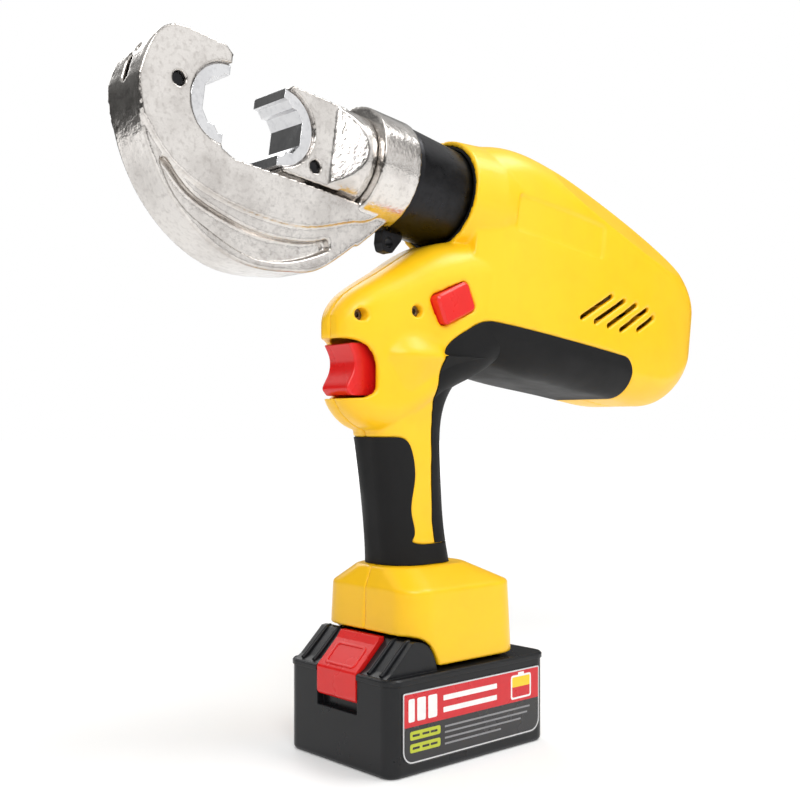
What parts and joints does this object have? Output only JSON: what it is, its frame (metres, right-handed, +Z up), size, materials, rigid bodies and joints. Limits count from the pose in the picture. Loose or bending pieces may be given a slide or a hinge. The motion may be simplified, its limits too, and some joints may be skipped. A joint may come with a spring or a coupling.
{
  "type": "cordless hydraulic crimper",
  "caption": "Cordless hydraulic crimper: C-shaped steel head with half dies and a sliding ram on a pistol-grip housing with a slide-on battery.",
  "frame": {"origin": "centre of the battery's flat bottom face, on which the tool stands", "axes": "+Z up, -X forward towards the crimping head, Y across the tool and square to its plane of symmetry"},
  "size_m": [0.3994, 0.081, 0.3378],
  "materials": {
    "yellow_plastic": "fine moulded texture, satin",
    "black_rubber": "matt, fine grain",
    "red_plastic": "semi-gloss",
    "black_plastic": "matt",
    "dark_plastic": "satin moulded",
    "plated_steel": "nickel-plated forging, cast texture on the flats",
    "chrome_steel": "bright",
    "machined_steel": "turned",
    "black_oxide": "satin black",
    "spring_steel": "drawn wire",
    "screw_steel": "dark zinc",
    "motor_steel": "satin",
    "aluminium": "machined",
    "brass": "machined",
    "circuit_board": "solder mask",
    "cell_wrap": "shrink wrap",
    "label": "printed film"
  },
  "bodies": {
    "housing": {"housing_right": "yellow_plastic", "housing_left": "yellow_plastic", "front_grip": "black_rubber", "rear_grip_pad": "black_rubber", "housing_screws": "screw_steel", "collar": "black_oxide", "collar_seal": "black_rubber", "hydraulic_cylinder": "machined_steel", "guide_bolt": "machined_steel", "return_spring": "spring_steel", "head_ring": "machined_steel", "pump_block": "aluminium", "pump_plunger": "machined_steel", "plunger_spring": "spring_steel", "relief_valve": "brass", "lever_pin": "machined_steel", "gear_plate": "aluminium", "motor_plate": "aluminium", "front_shaft_bearing": "machined_steel", "rear_shaft_bearing": "machined_steel", "motor_can": "motor_steel", "motor_stator": "motor_steel", "motor_end_cap": "black_plastic", "front_motor_bearing": "machined_steel", "rear_motor_bearing": "machined_steel", "oil_bladder": "black_rubber", "oil_spigot": "brass", "bladder_clamp": "screw_steel", "control_board": "circuit_board", "trigger_switch": "black_plastic", "trigger_spring": "spring_steel", "terminal_block": "black_plastic", "terminal_blades": "brass"},
    "head": {"c_head": "plated_steel", "fixed_die": "chrome_steel"},
    "ram": {"ram": "plated_steel", "ram_die": "chrome_steel", "piston_seal": "black_rubber"},
    "fixed_die_pin": {"fixed_die_pin": "black_oxide"},
    "ram_die_pin": {"ram_die_pin": "black_oxide"},
    "trigger": {"trigger": "red_plastic"},
    "release_button": {"release_button": "red_plastic"},
    "release_lever": {"release_lever": "machined_steel"},
    "valve_stem": {"valve_stem": "machined_steel"},
    "eccentric": {"eccentric_shaft": "machined_steel", "eccentric_bearing": "machined_steel", "drive_gear": "machined_steel"},
    "rotor": {"rotor": "motor_steel", "motor_pinion": "machined_steel", "cooling_fan": "black_plastic"},
    "battery": {"battery_case": "dark_plastic", "battery_lid": "dark_plastic", "battery_cells": "cell_wrap", "cell_holders": "black_plastic", "cell_board": "circuit_board", "battery_contacts": "brass", "battery_screws": "screw_steel", "battery_labels": "label", "battery_button_spring": "spring_steel"},
    "battery_button": {"battery_button": "red_plastic"}
  },
  "joints": [
    {"name": "head_rotation", "type": "hinge", "parent": "housing", "child": "head", "pos_m": [-0.0247, 0, 0.2936], "axis": [-0.9903, 0, 0.1392], "range_deg": [-175, 175]},
    {"name": "ram_slide", "type": "slide", "parent": "head", "child": "ram", "axis": [-0.9903, 0, 0.1392], "range_m": [0, 0.0295], "stiffness_N_per_m": 600, "springref_m": -0.02, "deforming": ["return_spring"]},
    {"name": "fixed_die_pin_press", "type": "slide", "parent": "head", "child": "fixed_die_pin", "axis": [0, 1, 0], "range_m": [0, 0.003], "stiffness_N_per_m": 1500, "springref_m": -0.003},
    {"name": "ram_die_pin_press", "type": "slide", "parent": "ram", "child": "ram_die_pin", "axis": [0, 1, 0], "range_m": [0, 0.003], "stiffness_N_per_m": 1500, "springref_m": -0.003},
    {"name": "trigger_pull", "type": "slide", "parent": "housing", "child": "trigger", "axis": [1, 0, 0], "range_m": [0, 0.005], "stiffness_N_per_m": 900, "springref_m": -0.002, "deforming": ["trigger_spring"]},
    {"name": "release_button_press", "type": "slide", "parent": "housing", "child": "release_button", "axis": [0, 1, 0], "range_m": [0, 0.003], "stiffness_N_per_m": 2000, "springref_m": -0.001},
    {"name": "release_lever_swing", "type": "hinge", "parent": "housing", "child": "release_lever", "pos_m": [0.05045, -0.0142, 0.23911], "axis": [-0.1392, 0, -0.9903], "range_deg": [0, 3.6]},
    {"name": "valve_stem_press", "type": "slide", "parent": "housing", "child": "valve_stem", "axis": [0, 1, 0], "range_m": [0, 0.00101]},
    {"name": "eccentric_spin", "type": "hinge", "parent": "housing", "child": "eccentric", "pos_m": [0.07203, 0, 0.23456], "axis": [-0.9903, 0, 0.1392], "continuous": true},
    {"name": "rotor_spin", "type": "hinge", "parent": "housing", "child": "rotor", "pos_m": [0.12106, 0, 0.25292], "axis": [-0.9903, 0, 0.1392], "continuous": true},
    {"name": "battery_slide", "type": "slide", "parent": "housing", "child": "battery", "axis": [-1, 0, 0], "range_m": [0, 0.09]},
    {"name": "battery_button_press", "type": "slide", "parent": "battery", "child": "battery_button", "axis": [0, 0, -1], "range_m": [0, 0.0038], "stiffness_N_per_m": 1500, "springref_m": -0.001, "deforming": ["battery_button_spring"]}
  ],
  "couplings": [
    {"joint": "release_lever_swing", "follows": "release_button_press", "rad_per_m": 20.576},
    {"joint": "valve_stem_press", "follows": "release_button_press", "ratio": 0.3292},
    {"joint": "rotor_spin", "follows": "eccentric_spin", "ratio": -4}
  ]
}
